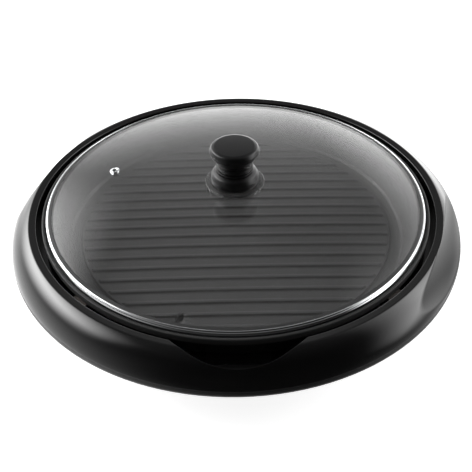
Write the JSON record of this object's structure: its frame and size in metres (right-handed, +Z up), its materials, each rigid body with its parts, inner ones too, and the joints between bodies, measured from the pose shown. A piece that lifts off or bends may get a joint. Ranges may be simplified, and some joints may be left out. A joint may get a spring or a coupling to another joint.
{
  "type": "electric indoor grill with lid",
  "caption": "Round ribbed electric grill: an element-heated plate lifts out of a cool shell with scooped hand-holds, under a loose domed glass lid with a knob.",
  "frame": {"origin": "on the round body's axis, in the plane of the feet that stands on the table", "axes": "+Z up along the axis of the round plate and lid, -Y towards the control bay at the front, +X to the right seen from the front"},
  "size_m": [0.4312, 0.4312, 0.146],
  "materials": {
    "shell_plastic": "polished black moulding with soft-edged reflections",
    "housing_plastic": "satin black moulding",
    "bay_plastic": "matt black",
    "nonstick": "dark non-stick coating on a casting, fine speckle",
    "glass": "clear tempered",
    "stainless": "polished rolled band",
    "knob_plastic": "satin-gloss phenolic",
    "silicone": "translucent grey silicone",
    "brass": "machined",
    "zinc_steel": "zinc plated",
    "steel_sheet": "plain pressed sheet",
    "sheath": "heat-tinted sheath",
    "aluminium_sheet": "pressed aluminium",
    "foot_rubber": "matt",
    "ceramic": "unglazed ceramic",
    "phenolic": "dull brown-black phenolic"
  },
  "bodies": {
    "base": {"base_ring": "shell_plastic", "lower_housing": "housing_plastic", "ring_screws": "zinc_steel", "rubber_feet": "foot_rubber", "foot_screws": "zinc_steel", "bay_liner": "bay_plastic", "liner_screws": "zinc_steel", "plate_rests": "phenolic", "rest_screws": "zinc_steel", "heat_shield": "aluminium_sheet", "shield_spacers": "ceramic", "shield_screws": "zinc_steel"},
    "tray": {"drip_tray": "aluminium_sheet"},
    "plate": {"grill_plate": "nonstick", "plate_wall": "nonstick", "plate_ledge": "nonstick", "heating_element": "sheath", "element_clips": "steel_sheet", "clip_screws": "zinc_steel", "terminal_bracket": "steel_sheet", "bracket_screws": "zinc_steel", "terminal_pins": "stainless", "pin_insulators": "ceramic", "probe_tube": "stainless", "terminal_guard": "steel_sheet", "earth_contact": "brass"},
    "lid": {"lid_glass": "glass", "lid_rim_band": "stainless", "vent_eyelet": "stainless", "knob_pad": "silicone", "lid_knob": "knob_plastic", "knob_insert": "brass", "knob_seal": "silicone", "knob_washer": "zinc_steel", "knob_screw": "zinc_steel"}
  },
  "joints": [
    {"name": "tray_lift", "type": "slide", "parent": "base", "child": "tray", "axis": [0, 0, 1], "range_m": [0, 0.1]},
    {"name": "plate_lift", "type": "slide", "parent": "tray", "child": "plate", "axis": [0, 0, 1], "range_m": [0, 0.12]},
    {"name": "lid_lift", "type": "slide", "parent": "plate", "child": "lid", "axis": [0, 0, 1], "range_m": [0, 0.15]}
  ]
}
